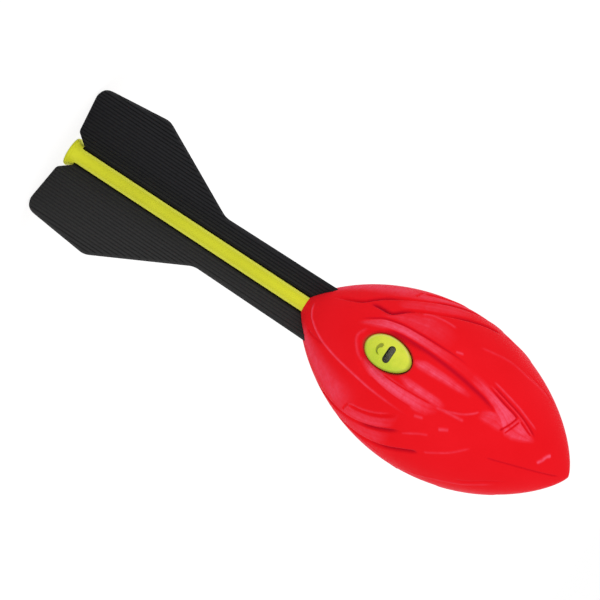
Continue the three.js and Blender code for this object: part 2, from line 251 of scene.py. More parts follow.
# The trough that a whistle lies in: its depth and its two edges along the head
TROUGH_DEPTH = (
    (-0.55, 0), (-0.49, 1.0), (-0.42, 2.0), (-0.32, 2.3), (0.11, 2.3), (0.21, 2.0), (0.31, 1.5),
    (0.41, 0.8), (0.48, 0),
)
TROUGH_UPPER = (
    (-0.55, 4.3), (-0.52, 8.5), (-0.49, 11.5), (-0.44, 15.6), (-0.39, 18.0), (-0.32, 19.2),
    (-0.19, 19.0), (0.01, 18.0), (0.21, 16.2), (0.31, 15.0), (0.41, 12.7), (0.48, 10.5), (0.54, 3),
)
TROUGH_LOWER = (
    (-0.55, 4.0), (-0.51, -1), (-0.48, -4.5), (-0.44, -7.3), (-0.39, -9.5), (-0.32, -10.6),
    (-0.19, -10.8), (-0.09, -10.3), (0.01, -9.6), (0.11, -8.4), (0.21, -5.5), (0.31, -1),
    (0.37, 4.5), (0.43, 9), (0.48, 10.3), (0.54, 2.8),
)

# The sloping wall below the trough: its foot, how much of it there is, and its section as
# degrees from the foot and rise. Its top is shares of the way to the foot and of the streaks
WALL_FOOT = (
    (-0.56, 3.8), (-0.53, -0.5), (-0.49, -6), (-0.44, -10.8), (-0.39, -13.5), (-0.34, -15.5),
    (-0.29, -16.8), (-0.19, -18), (0.01, -17.6), (0.09, -16.4), (0.15, -12), (0.21, -7.5),
    (0.31, -2.5), (0.38, 3.5), (0.44, 8.5), (0.49, 9.8), (0.54, 2.5),
)
WALL_RISE = ((-0.49, 0), (-0.37, 1), (0.01, 1), (0.15, 0))
WALL_SECTION = ((-6, 0), (-2.2, -0.4), (-0.4, -0.06))
WALL_TOP = (0.12, 0.12)

# The bevelled band above the trough: its edges, how much of it there is, its section as shares
# across it and rise, and the turn in which it runs out
BAND_INNER = (
    (-0.59, 13.4), (-0.49, 17), (-0.44, 18.6), (-0.39, 19.5), (-0.29, 19.9), (-0.19, 19.6),
    (0.01, 18.6), (0.21, 16.9), (0.31, 15.7), (0.41, 13.3), (0.48, 9.5), (0.51, 6), (0.555, 1.5),
    (0.6, 1.5), (0.65, 4.5), (0.7, 9), (0.73, 12),
)
BAND_OUTER = (
    (-0.59, 13.8), (-0.56, 16.6), (-0.49, 23.7), (-0.44, 26.4), (-0.39, 27.5), (-0.29, 27.8),
    (-0.19, 27.4), (0.01, 26.3), (0.11, 25.7), (0.21, 24.8), (0.31, 23.4), (0.37, 22.4),
    (0.46, 20.9), (0.56, 19.2), (0.6, 18.6), (0.69, 14.8), (0.73, 12.5),
)
BAND_RISE = (
    (-0.59, 0), (-0.54, 1), (-0.09, 1), (0.11, 0.6), (0.26, 0.9), (0.51, 0.9), (0.61, 0.5),
    (0.73, 0),
)
BAND_SECTION = ((0, 0.2), (0.12, 0.25), (0.9, -0.5), (1, -0.42))
BAND_RUNOUT = 0.9

# Streaks carved along the trough's floor: shares across it and how much of the depth they take up
STREAK_SECTION = (
    (0, 0.28), (0.03, 0.38), (0.2, 0.1), (0.26, 0.1), (0.47, 0.3), (0.54, 0.32), (0.8, 0),
    (0.87, 0.1), (0.95, 0.6),
)
STREAK_START = (-0.22, -0.1)

# The swoosh's two long lines, which the grooves below use whole and in part
SWOOSH_BACK = (
    (-0.85, 37.5), (-0.74, 35.6), (-0.65, 36.5), (-0.59, 42), (-0.54, 46.5), (-0.47, 50.5),
    (-0.38, 55.8), (-0.3, 60.6), (-0.22, 66.2), (-0.14, 71.8), (-0.07, 77.2), (0.01, 83.4),
    (0.07, 88),
)
SWOOSH_FRONT = (
    (-0.6, 36.5), (-0.53, 35), (-0.46, 33), (-0.425, 34.4), (-0.37, 40), (-0.3, 45.2),
    (-0.2, 50.5), (-0.1, 56.6), (-0.02, 62), (0.06, 68), (0.13, 72.8), (0.17, 75.5),
)

# Carved lines: points, rise, half width, painted sheen (painted shade where it is negative), and
# for some the shares of the line over which it fades in and out
GROOVES = (
    # The swoosh: its two long grooves, the one behind them and the step between
    (SWOOSH_BACK, -1.4, 0.9, -0.85, (0.1, 0.2)),
    (SWOOSH_FRONT, -1.4, 0.9, -0.85),
    (((-0.365, 70.5), (-0.29, 74.6), (-0.22, 78.6), (-0.15, 83.6), (-0.09, 89), (-0.06, 92)), -1.3,
      0.95, -0.85, (0.1, 0.3)),
    (((-0.386, 60.8), (-0.38, 66), (-0.366, 72.5)), -0.8, 0.55, -0.6),
    # The shallow far side of the tail's ridge
    (((-0.89, -6), (-0.85, -19), (-0.79, -25), (-0.69, -27), (-0.49, -26.8), (-0.19, -26.8),
      (0.01, -26)), -0.15, 0.7, 0.0),
    # The band on its way to the nose
    (((0.3, 24), (0.37, 23), (0.46, 21.3), (0.535, 20.3), (0.57, 19)), -0.7, 0.5, -0.6,
      (0.4, 0.12)),
    (((0.33, 26.8), (0.46, 24.8), (0.565, 23.6), (0.64, 21.3), (0.72, 17)), -0.6, 0.5, -0.5),
    (((0.59, 19), (0.64, 16.9), (0.69, 14.9)), -0.4, 0.45, -0.3),
    # Across the point of the trough
    (((0.515, 1), (0.55, 11.3), (0.567, 20)), -0.8, 0.5, -0.6),
    (((0.548, 1.5), (0.572, 10.4), (0.59, 18.5)), -0.6, 0.45, -0.5),
    # Faint lines towards the nose and the tail
    (((0.53, -24.5), (0.61, -23.3), (0.71, -21.7), (0.881, -20), (0.96, -19)), -0.5, 0.5, -0.35),
    (((0.43, 61), (0.51, 63.5), (0.56, 67), (0.61, 70), (0.71, 74)), -0.3, 0.6, -0.1),
    (((-0.86, -35), (-0.81, -33), (-0.76, -29), (-0.71, -26.5)), -0.5, 0.6, -0.2),
    # The edges of the trough, of the band and of the wall
    (((-0.44, 17.2), (-0.32, 19.8), (-0.19, 19.4), (0.01, 18.2), (0.15, 17), (0.25, 15.8),
      (0.33, 14.8), (0.41, 12.8), (0.47, 11)), -0.9, 1.2, -0.65, (0.1, 0.25)),
    (((-0.29, -10.9), (-0.19, -11), (-0.09, -10.4), (0.01, -9.7), (0.09, -9)), -0.5, 0.5, -0.2),
    (((-0.6, 17), (-0.51, 23.4), (-0.45, 26.6), (-0.34, 28), (-0.22, 27.7), (-0.07, 27.2),
      (0.08, 27), (0.17, 26)), -0.6, 0.5, -0.6, (0.15, 0.3)),
    (((-0.34, -16.8), (-0.19, -18.4), (0.01, -18)), -0.4, 0.6, -0.1),
    # Deeper painted shade in parts of the swoosh's grooves
    (SWOOSH_FRONT[6:], -0.12, 1.05, -0.72, (0.4, 0.2)),
    (((-0.28, 62), *SWOOSH_BACK[8:12]), -0.1, 1.0, -0.7, (0.4, 0.2)),
    ((*SWOOSH_BACK[:6], (-0.4, 54.5)), -0.1, 1.0, -0.7, (0.5, 0.3)),
    (SWOOSH_FRONT[:6], -0.12, 1.05, -0.82, (0.15, 0.3)),
)
# Ridges take the same columns, and their painted sheen is a painted highlight along them
RIDGES = (
    # Round the tail and along below the trough
    (((-0.915, 20), (-0.895, 0), (-0.87, -12), (-0.84, -17), (-0.81, -20), (-0.77, -22.4),
      (-0.71, -24), (-0.59, -24.4), (-0.44, -24), (-0.29, -24.2), (0.01, -24)), 0.5, 0.55, 0.7),
    # Above the band
    (((-0.28, 42.5), (-0.24, 45.2), (-0.19, 46.2), (-0.11, 46.6), (-0.05, 46)), 0.4, 0.7, 0.4),
    (((0.13, 44), (0.21, 47.3), (0.31, 52.3), (0.39, 55), (0.47, 57), (0.56, 62), (0.66, 67.5)),
      0.25, 0.7, 0.2),
    # The band on its way to the nose, and the point of the trough
    (((0.32, 29.4), (0.44, 28.2), (0.54, 27.3), (0.61, 25.9), (0.7, 24)), 0.35, 0.5, 0.55),
    (((0.31, 25.3), (0.4, 24), (0.49, 22.9), (0.575, 21.4), (0.62, 19.8), (0.665, 17.6),
      (0.7, 15.8)), 0.3, 0.4, 0.4),
    (((0.532, 1), (0.561, 12), (0.58, 21)), 0.3, 0.4, 0.35),
    # Below the trough, towards the nose
    (((0.11, -9.2), (0.19, -7.8), (0.25, -7.2), (0.31, -6.8)), 0.4, 0.7, 0.45),
    (((0.15, -8.6), (0.2, -7), (0.28, -3.2), (0.33, 1), (0.36, 5)), 0.25, 0.45, 0.5),
    # Short glints
    (((0.03, 29.6), (0.08, 31.4)), 0.45, 0.6, 0.6),
    (((0.2, -20.8), (0.26, -17.5)), 0.5, 0.8, 0.6),
    (((0.03, -21.5), (0.09, -19.5)), 0.35, 0.7, 0.4),
    # Beside the swoosh, towards the nose
    (((0.01, 82), (0.11, 89), (0.17, 92)), 0.35, 0.6, 0.3),
    (((0.19, 77.5), (0.26, 82), (0.34, 88), (0.43, 98)), 0.4, 0.6, 0.3),
    # Across the nose
    (((0.851, 15), (0.831, 8), (0.821, 0), (0.801, -8)), 0.4, 0.8, 1.1),
    # Beside the swoosh's rear groove, and round the rear end of the trough
    (((-0.373, 61.5), (-0.368, 67), (-0.35, 73.8), (-0.29, 77), (-0.22, 81), (-0.15, 86),
      (-0.08, 91.5)), 0.4, 0.6, 0.4),
    (((-0.505, 13), (-0.537, 6), (-0.537, 1.5), (-0.514, -3.6), (-0.47, -9), (-0.41, -12)), 0.25,
      0.7, 0.3),
)

# Patches of painted sheen: lower edge, upper edge, strength along the head, and for some the
# edge's softness
ZONES = (
    # The band above the trough
    (BAND_INNER, BAND_OUTER,
     ((-0.59, 0), (-0.54, 0.4), (-0.49, 0.5), (-0.42, 0.8), (-0.3, 1), (-0.22, 0.8), (-0.15, 0.58),
      (-0.08, 0.4), (0, 0.22), (0.06, 0.06), (0.2, 0.05), (0.3, 0.45), (0.38, 0.68), (0.45, 0.85),
      (0.55, 0.8), (0.575, 0.4), (0.6, 0.65), (0.67, 0.55), (0.73, 0))),
    # Two streaks in the trough
    (((-0.16, 8), (-0.09, 7), (0.26, 9)),
     ((-0.16, 9.5), (-0.09, 12.6), (0.11, 12.6), (0.26, 11.5)),
     ((-0.17, 0), (-0.11, 0.65), (0.01, 0.7), (0.16, 0.6), (0.27, 0))),
    (((-0.19, -5), (-0.09, -8.5), (0.16, -8.5)),
     ((-0.19, -3.5), (0.11, -3.8), (0.16, -5)),
     ((-0.19, 0), (-0.11, 0.6), (0.04, 0.75), (0.13, 0.3), (0.17, 0))),
    # The wall below the trough
    (WALL_FOOT, TROUGH_LOWER,
     ((-0.44, 0), (-0.37, 0.8), (-0.19, 0.95), (0.01, 0.62), (0.11, 0.12), (0.15, 0))),
    # The trough's floor near its point
    (((0.37, 1), (0.51, 1.5), (0.54, 3)),
     ((0.37, 7), (0.41, 10), (0.465, 13), (0.51, 10), (0.55, 6)),
     ((0.36, 0), (0.41, 0.4), (0.51, 0.35), (0.55, 0))),
    # The flank between the band and the swoosh
    (((-0.5, 27), (-0.4, 29.2), (-0.29, 29.6), (-0.14, 29), (0.06, 28.6)),
     ((-0.5, 30), (-0.42, 33), (-0.36, 38), (-0.2, 44), (-0.1, 43), (0.06, 38)),
     ((-0.5, 0), (-0.42, 0.24), (-0.2, 0.26), (-0.1, 0.12), (0, 0)), 2.2),
    # Between the swoosh's grooves
    (((-0.5, 46), (-0.4, 41), (-0.29, 46), (-0.19, 51.5), (-0.09, 58), (0, 64)),
     ((-0.5, 48), (-0.37, 56.5), (-0.29, 61.5), (-0.19, 68), (-0.09, 75.5), (0, 82)),
     ((-0.46, 0), (-0.38, 0.18), (-0.22, 0.24), (-0.12, 0.24), (-0.03, 0)), 1.8),
    (((-0.43, 54), (-0.37, 57), (-0.29, 61.5), (-0.19, 68), (-0.09, 75.5), (0, 82)),
     ((-0.43, 64), (-0.37, 70), (-0.29, 74.6), (-0.19, 80.5), (-0.09, 89), (0, 96)),
     ((-0.43, 0), (-0.36, 0.36), (-0.22, 0.42), (-0.12, 0.32), (-0.04, 0)), 1.8),
)


# Mesh helpers
def shade_smooth(mesh, crease):
    """Smooth, but sharp where faces meet at more than the crease."""
    mesh.shade_smooth()
    mesh.set_sharp_from_angle(angle=math.radians(crease))


def add_object(name, data):
    """An object in the scene."""
    thing = bpy.data.objects.new(name, data)
    bpy.context.scene.collection.objects.link(thing)
    return thing


def mesh_object(name, points, faces):
    """A mesh object from points in millimetres."""
    mesh = bpy.data.meshes.new(name)
    mesh.from_pydata((np.asarray(points, float) * MM).tolist(), [], faces)
    mesh.validate()
    shade_smooth(mesh, SHARP_ANGLE)
    return add_object(name, mesh)


def skin(name, rings):
    """A piece over rings that run anticlockwise, upwards on the outside, closed at its ends."""
    rings = np.asarray(rings, float)
    rows, columns = rings.shape[:2]
    points = rings.reshape(-1, 3)
    ends = np.stack([rings[0].mean(0), rings[-1].mean(0)])
    low, high = len(points), len(points) + 1
    top = (rows - 1) * columns
    faces = []
    for i in range(0, top, columns):
        for j in range(columns):
            k = (j + 1) % columns
            faces.append((i + j, i + k, i + columns + k, i + columns + j))
    for j in range(columns):
        k = (j + 1) % columns
        faces.append((low, k, j))
        faces.append((high, top + j, top + k))
    return mesh_object(name, np.concatenate([points, ends]), faces)


def prism(name, outline, low, high):
    """An upright piece over an outline that runs anticlockwise, between two heights."""
    return skin(name, [[(x, y, z) for x, y in outline] for z in (low, high)])


def around(radius, height, angle):
    """Rings about the axis at a column of radii and heights, with angles in radians."""
    return np.stack([radius * np.cos(angle), radius * np.sin(angle), height + 0 * angle], -1)


def lathe(profile, angle):
    """Rings about the axis through (radius, height) points, with angles in radians."""
    radius, height = np.array(profile, float).T[..., None]
    return around(radius, height, angle)


def frame_at(x, y, z, origin):
    """From a frame with these axes and origin, in millimetres, to the scene."""
    place = Matrix((x, y, z)).transposed().to_4x4()
    place.translation = origin * MM
    return place


def cut(piece, cutters, operation="DIFFERENCE", crease=SHARP_ANGLE):
    """Cuts the cutters out of the piece, and takes them away."""
    for cutter in cutters:
        modifier = piece.modifiers.new("cut", "BOOLEAN")
        modifier.operation = operation
        modifier.solver = "MANIFOLD"
        modifier.object = cutter
    graph = bpy.context.evaluated_depsgraph_get()
    mesh = bpy.data.meshes.new_from_object(piece.evaluated_get(graph))
    piece.modifiers.clear()
    piece.data = mesh
    shade_smooth(mesh, crease)
    for cutter in cutters:
        bpy.data.objects.remove(cutter)


def points_of(piece):
    """The piece's points in millimetres, as three rows."""
    flat = np.empty(len(piece.data.vertices) * 3, np.float32)
    piece.data.vertices.foreach_get("co", flat)
    return flat.reshape(-1, 3).T.astype(float) / MM


def mark(piece, name, values):
    """A number at each of the piece's points, for its material to read."""
    layer = piece.data.attributes.new(name, "FLOAT", "POINT")
    layer.data.foreach_set("value", np.asarray(values, np.float32))


def through(points, steps=14):
    """A smooth line through the points, as many steps between each two."""
    knots = np.array(points, float)
    knots = np.concatenate([[2 * knots[0] - knots[1]], knots, [2 * knots[-1] - knots[-2]]])
    line = []
    for a, b, c, d in zip(knots[:-3], knots[1:-2], knots[2:-1], knots[3:]):
        for t in np.arange(steps) / steps:
            line.append(0.5 * (2 * b + (c - a) * t + (2 * a - 5 * b + 4 * c - d) * t**2
                               + (3 * b - a - 3 * c + d) * t**3))
    line.append(knots[-2])
    return np.array(line)


def read(table, place):
    """A table's value at a place."""
    return np.interp(place, *np.array(table).T)


def circle(columns):
    """Angles in radians at even steps round a circle."""
    return np.arange(columns) * 2 * math.pi / columns


def bell(share):
    return np.exp(-np.square(share))


def smoothstep(low, high, value):
    """From zero at low to one at high, or the other way round where low is the greater."""
    t = np.clip((value - low) / (high - low), 0, 1)
    return t * t * (3 - 2 * t)


def window(edges, value):
    """One between the middle two of four edges, and fading to zero at the outer ones."""
    return smoothstep(edges[0], edges[1], value) * smoothstep(edges[3], edges[2], value)


def sector_azimuth(sector):
    """Azimuth of a whistle's line. A fin stands half a sector further on."""
    return FIRST_WHISTLE_AZIMUTH + sector * SECTOR_TURN


# The head's plain surface, by the share of its half length along the axis
def head_radius(along):
    return HEAD_RADIUS * np.maximum(1 - np.square(along), 0) ** HEAD_FULLNESS


def head_slope(along):
    """Change of radius along the axis."""
    room = np.maximum(1 - np.square(along), 1e-6)
    return -2 * along * HEAD_FULLNESS * head_radius(along) / room / HEAD_HALF


def head_frame(along, azimuth):
    """Point, outward normal and forward direction on the plain surface."""
    turn = math.radians(azimuth)
    out = Vector((math.cos(turn), math.sin(turn), 0))
    slope = float(head_slope(along))
    height = Vector((0, 0, HEAD_CENTRE_HEIGHT + along * HEAD_HALF))
    point = out * float(head_radius(along)) + height
    normal = (out - Vector((0, 0, slope))).normalized()
    forward = (out * slope + Vector((0, 0, 1))).normalized()
    return point, normal, forward


def meridian_shares(first_radius):
    """Shares at even steps over the surface, from where it has the first radius to the nose."""
    fine = -np.cos(np.linspace(0, math.pi, MERIDIAN_POINTS))
    radius = head_radius(fine)
    steps = np.hypot(np.diff(radius), np.diff(fine) * HEAD_HALF)
    length = np.concatenate([[0], np.cumsum(steps)])
    start = length[np.argmax(radius >= first_radius)]
    count = int((length[-1] - start) / HEAD_STEP)
    return np.interp(np.linspace(start, length[-1], count + 1), length, fine)


class Relief:
    """Carving of one sector, in millimetres above the plain surface, and its painted light."""

    def __init__(self, along, turn):
        self.along, self.turn = np.meshgrid(along, turn, indexing="ij")
        self.per_degree = np.radians(head_radius(self.along))
        self.per_share = HEAD_HALF * np.hypot(1, head_slope(self.along))
        self.height, self.painted_light, self.glow = np.zeros((3, *self.along.shape))

    def offsets(self, line, shift):
        """Signed distance to a line on the surface, and the nearest point's share along it."""
        best = np.full(self.along.shape, np.inf)
        side, place = np.zeros((2, *self.along.shape))
        for i in range(len(line) - 1):
            (a0, t0), (a1, t1) = line[i], line[i + 1]
            ax = (self.along - a0) * self.per_share
            ay = (self.turn - t0 - shift) * self.per_degree
            bx, by = (a1 - a0) * self.per_share, (t1 - t0) * self.per_degree
            along = np.clip((ax * bx + ay * by) / (bx * bx + by * by), 0, 1)
            far = np.hypot(ax - along * bx, ay - along * by)
            near = far < best
            best = np.where(near, far, best)
            side = np.where(near, np.sign(bx * ay - by * ax), side)
            place = np.where(near, (i + along) / (len(line) - 1), place)
        return best * side, place

    def copies(self, points):
        """The line in this sector and those that reach in from its neighbours."""
        line = through(points)
        reach = SECTOR_TURN / 2 + NEIGHBOUR_REACH
        for shift in NEIGHBOURS:
            turns = line[:, 1] + shift
            if turns.max() > -reach and turns.min() < reach:
                yield self.offsets(line, shift)

    def lay(self, painted_light, shape):
        """Lays painted sheen over what is there, or painted shade where it is negative, by the
        shape.
        """
        shade = self.painted_light + (np.minimum(painted_light, 0) - self.painted_light) * shape
        self.painted_light = np.where(painted_light < 0, shade, np.maximum(self.painted_light, painted_light * shape))

    def line(self, points, rise, half_width, painted_light, fade=LINE_FADE):
        """A rounded ridge along the points, or a groove where rise is negative."""
        for away, place in self.copies(points):
            strength = smoothstep(0, fade[0], place) * smoothstep(0, fade[1], 1 - place)
            shape = strength * bell(away / half_width)
            self.height += rise * shape
            # Painted sheen along the line, and painted shade where it is negative
            self.lay(painted_light, shape)

    def whistle_trough(self):
        """The trough that a whistle lies in, with the band above it and the wall below it."""
        along = self.along[:, 0]
        turn = self.turn[0]
        depth, upper, lower = (read(table, along)
                               for table in (TROUGH_DEPTH, TROUGH_UPPER, TROUGH_LOWER))
        lip, inner, outer = (read(table, along) for table in (BAND_RISE, BAND_INNER, BAND_OUTER))
        wall, foot = (read(table, along) for table in (WALL_RISE, WALL_FOOT))
        streaks = smoothstep(*STREAK_START, along)
        share, level = WALL_TOP
        knots = [(foot + away, rise * wall) for away, rise in WALL_SECTION]
        knots.append((lower - share * (lower - foot), -depth * (1 - level * streaks)))
        for share, level in STREAK_SECTION:
            knots.append((lower + share * (upper - lower), -depth * (1 - level * streaks)))
        knots.append((upper, 0 * depth))
        knots += [(inner + share * (outer - inner), rise * lip) for share, rise in BAND_SECTION]
        knots.append((outer + BAND_RUNOUT, 0 * lip))
        places = np.maximum.accumulate(np.stack([knot[0] for knot in knots], 1), axis=1)
        heights = np.stack([knot[1] for knot in knots], 1)
        order = np.argsort(turn)
        for i in range(len(along)):
            self.height[i, order] += np.interp(turn[order], places[i], heights[i])

    def zone(self, lower, upper, strength, edge=ZONE_EDGE):
        """A streaky painted sheen on the skin between two lines, each a table of along and turn.
        """
        along = self.along[:, :1]
        low, high, level = (read(table, along) for table in (lower, upper, strength))
        for shift in NEIGHBOURS:
            above = (self.turn - low - shift) * self.per_degree
            below = (high + shift - self.turn) * self.per_degree
            inside = smoothstep(-edge, edge, above) * smoothstep(-edge, edge, below)
            across = np.clip(above / np.maximum(above + below, 1), -0.2, 1.2)
            # Painted sheen in streaks across the patch
            self.lay(level * self.streaks(across), inside)

    def streaks(self, across):
        """Long, slightly wavering streaks over a share across a patch, about one on the whole."""
        random = np.random.default_rng(STREAK_SEED)
        total = 1 + 0 * across
        for count, depth in STREAK_WAVES:
            phase, drift = random.uniform(0, 2 * math.pi, 2)
            waver = STREAK_WAVER * np.sin(STREAK_BENDS * self.along + drift)
            total += depth * np.cos(2 * math.pi * count * across + phase + waver)
        return total

    def whistle_moat(self):
        """The skin rolls down round a whistle, with painted shade and painted cap light in a ring
        about it.
        """
        per_share = HEAD_HALF * math.hypot(1, head_slope(WHISTLE_ALONG))
        along = (self.along - WHISTLE_ALONG) * per_share
        across = (self.turn - WHISTLE_TURN) * math.radians(head_radius(WHISTLE_ALONG))
        share = egg_share(along, across)
        away = np.hypot(along, across) * (1 - 1 / np.maximum(share, 0.1))
        self.height -= MOAT_DEPTH * bell(np.maximum(away - MOAT_START, 0) / MOAT_WIDTH)
        # The ring where painted shade lies, tinted later by painted light thrown back from the
        # lime cap
        self.glow = bell(np.maximum(away - MOAT_SHADE_START, 0) / MOAT_SHADE_WIDTH)
        self.lay(-1, self.glow)

    def grip(self):
        """Fine ribs across the flank behind each swoosh, where the hand holds the foam."""
        ribs = np.cos(2 * math.pi * self.along * HEAD_HALF / GRIP_PITCH)
        for shift in (-SECTOR_TURN, 0):
            inside = window(GRIP_ALONG, self.along) * window(GRIP_TURN, self.turn - shift)
            self.height += inside * GRIP_RISE * ribs
            # Painted sheen over the ribbed flank
            self.lay(GRIP_SHEEN, inside)

    def soften(self, reach):
        """Rounds every edge, as a moulded foam skin does, by a blur of about the given reach."""
        steps = round(3 * reach / HEAD_STEP)
        offsets = np.arange(-steps, steps + 1)
        weights = np.exp(-0.5 * np.square(offsets * HEAD_STEP / reach))
        weights /= weights.sum()
        rows = np.pad(self.height, ((steps, steps), (0, 0)), "edge")
        rounded_rows = sum(w * rows[i:i + len(self.height)] for i, w in enumerate(weights))
        self.height = sum(w * np.roll(rounded_rows, o, axis=1) for o, w in zip(offsets, weights))


def head_relief(along, turn):
    """All the carving of a sector. What comes later lies over what is there."""
    relief = Relief(along, turn)
    relief.whistle_trough()
    for zone in ZONES:
        relief.zone(*zone)
    relief.grip()
    for line in RIDGES + GROOVES:
        relief.line(*line)
    relief.whistle_moat()
    relief.soften(MOULD_SOFTNESS)
    return relief


def make_head():
    """The foam head: a turned grid with the relief and the tail's bore, with its seats cut in."""
    bore = TUBE_RADIUS + SEAT_GAP
    hollow = ANCHOR_RADIUS + SEAT_GAP
    along = meridian_shares(bore)[:-1]
    turn = SECTOR_TURN * (0.5 - (np.arange(SECTOR_COLUMNS) + 0.5) / SECTOR_COLUMNS)
    azimuths = [sector_azimuth(sector) - turn for sector in range(SECTORS)]
    azimuth = np.radians(np.concatenate(azimuths))
    relief = head_relief(along, turn)
    height = np.tile(relief.height, (1, SECTORS))
    slope = head_slope(along)[:, None]
    tilt = np.hypot(1, slope)
    radius = np.minimum(head_radius(along)[:, None] + height / tilt, HEAD_RADIUS)
    level = HEAD_CENTRE_HEIGHT + along[:, None] * HEAD_HALF - height * slope / tilt
    inside = [(bore, TUBE_TOP_HEIGHT + SEAT_GAP)]
    for low in reversed(ANCHOR_HEIGHTS):
        floor, roof = low - SEAT_GAP, low + ANCHOR_THICKNESS + SEAT_GAP
        inside += [(bore, roof), (hollow, roof), (hollow, floor), (bore, floor)]
    walls = lathe(inside, azimuth)
    head = skin("head", np.concatenate([walls, around(radius, level, azimuth)]))
    # Marks of painted light, zero on the inner walls and at the two points that close the ends
    for name, values in (("painted_light", relief.painted_light), ("glow", relief.glow)):
        values = np.concatenate([np.zeros(walls.shape[:2]), np.tile(values, (1, SECTORS))])
        mark(head, name, np.append(values.ravel(), [0, 0]))
    cutters = [fin_slot(sector) for sector in range(SECTORS)]
    cut(head, cutters + [whistle_pocket(sector) for sector in range(SECTORS)])
    return head


# Whistles
def whistle_place(sector):
    """From a whistle's own frame, x forward, y round the head and z outwards, to the toy's."""
    point, normal, forward = head_frame(WHISTLE_ALONG, sector_azimuth(sector) - WHISTLE_TURN)
    return frame_at(forward, normal.cross(forward), normal, point - normal * WHISTLE_SINK)


def egg_share(x, y):
    """How far out a place is from a whistle's middle, one at its outline."""
    along = x * 2 / WHISTLE_LENGTH
    taper = 1 - WHISTLE_EGG * np.clip(along, -1, 1)
    return np.hypot(along, y * 2 / WHISTLE_WIDTH / taper)


def egg(draw, height, columns, share=1.0):
    """A ring of a whistle's outline, drawn in and shrunk by a share."""
    angle = circle(columns)
    length = (WHISTLE_LENGTH / 2 - draw) * share * np.cos(angle)
    width = (WHISTLE_WIDTH / 2 - draw) * share * np.sin(angle) * (1 - WHISTLE_EGG * np.cos(angle))
    return np.stack([length, width, np.full(columns, float(height))], -1)


def whistle_pocket(sector):
    """A cutter in the head for a cap and its cup, with a ledge for the cup's flange."""
    ledge = -2 * SEAT_GAP - CUP_FLANGE
    layers = (
        (CUP_FLANGE_INSET + CUP_TAPER - SEAT_GAP, -CUP_DEPTH - SEAT_GAP),
        (CUP_FLANGE_INSET - SEAT_GAP, ledge),
        (-SEAT_GAP, ledge),
        (-SEAT_GAP, WHISTLE_SINK + CUT_MARGIN),
    )
    cutter = skin("pocket", [egg(draw, height, POCKET_COLUMNS) for draw, height in layers])
    cutter.data.transform(whistle_place(sector))
    return cutter


def slot_outline():
    """Two half rounds joined by straight sides, leaning a little on the cap."""
    lean = math.radians(SLOT_LEAN)
    angle = circle(SLOT_COLUMNS)
    x = SLOT_WIDTH / 2 * np.cos(angle)
    y = SLOT_WIDTH / 2 * np.sin(angle) + SLOT_HALF * np.where(np.sin(angle) >= 0, 1, -1)
    return np.stack([
        SLOT_OFFSET[0] + x * math.cos(lean) + y * math.sin(lean),
        SLOT_OFFSET[1] + y * math.cos(lean) - x * math.sin(lean),
    ], -1)


def slot_distance(x, y):
    """Distance outside the slot's outline, negative inside it."""
    lean = math.radians(SLOT_LEAN)
    x, y = x - SLOT_OFFSET[0], y - SLOT_OFFSET[1]
    x, y = x * math.cos(lean) - y * math.sin(lean), x * math.sin(lean) + y * math.cos(lean)
    beyond = y - np.clip(y, -SLOT_HALF, SLOT_HALF)
    return np.hypot(x, beyond) - SLOT_WIDTH / 2


def crescent_depth(x, y):
    """How far inside the crescent dimple a place is, negative outside it."""
    x, y = x - DIMPLE_CENTRE[0], y - DIMPLE_CENTRE[1]
    angle = np.degrees(np.arctan2(y, x)) % 360
    return read(DIMPLE_WIDTH, angle) - np.abs(np.hypot(x, y) - DIMPLE_RADIUS)


def dome_ring(draw, rise, share):
    """A ring of a dome that springs from the rim, at a share of the way out."""
    return egg(draw, CAP_RIM + rise * math.sqrt(1 - min(share, 1)**2), CAP_COLUMNS, share)


def dress_ring(ring):
    """Rounds the slot's edge and sinks the dimple into a ring of the dome."""
    x, y = ring[:, 0], ring[:, 1]
    near = np.clip(1 - slot_distance(x, y) / SLOT_LIP, 0, 1)
    ring[:, 2] -= SLOT_LIP * (1 - np.sqrt(1 - near**2))
    ring[:, 2] -= DIMPLE_DEPTH * smoothstep(*DIMPLE_EDGE, crescent_depth(x, y))
    return ring


def shade_cap(cap):
    """Marks painted shade at the slot, dimple and outline, a painted rim highlight and a lit side.
    """
    x, y, _ = points_of(cap)
    share = egg_share(x, y)

    def side(slope, low, high):
        return smoothstep(low, high, y + slope * x)

    slot = smoothstep(*SLOT_SHADE, slot_distance(x, y))
    crescent = CRESCENT_SHADE * smoothstep(0, 0.5, crescent_depth(x, y)) * side(*CRESCENT_SIDE)
    edge = EDGE_SHADE * smoothstep(EDGE_START, 1.0, share)
    mark(cap, "painted_shade", np.maximum.reduce([slot, crescent, edge]))
    mark(cap, "rim", window(RIM_HIGHLIGHT_SHARES, share) * side(*RIM_HIGHLIGHT_SIDE))
    mark(cap, "cap_lit_side", side(*LIT_CAP_SIDE))


def make_cap(sector):
    """A hollow domed cap: its inside, the spigot and rim below, and the dome with its slot."""
    spigot = CUP_FLANGE_INSET + CUP_WALL + SEAT_GAP
    bore = spigot + CAP_SPIGOT_WALL
    layers = ((bore, -CAP_SPIGOT_DEPTH), (spigot, -CAP_SPIGOT_DEPTH), (spigot, 0),
              (CAP_EDGE_EASE, 0), (0, CAP_EDGE_EASE))
    rings = [dome_ring(bore, CAP_RISE - CAP_WALL, share) for share in CAP_HOLLOW_SHARES]
    rings += [egg(draw, height, CAP_COLUMNS) for draw, height in layers]
    rings += [dress_ring(dome_ring(0, CAP_RISE, share)) for share in CAP_DOME_SHARES]
    cap = skin(f"cap_{sector + 1}", rings)
    top = CAP_RIM + CAP_RISE + CUT_MARGIN
    cut(cap, [prism("slot", slot_outline(), -CAP_SPIGOT_DEPTH - CUT_MARGIN, top)])
    shade_cap(cap)
    cap.data.transform(whistle_place(sector))
    return cap


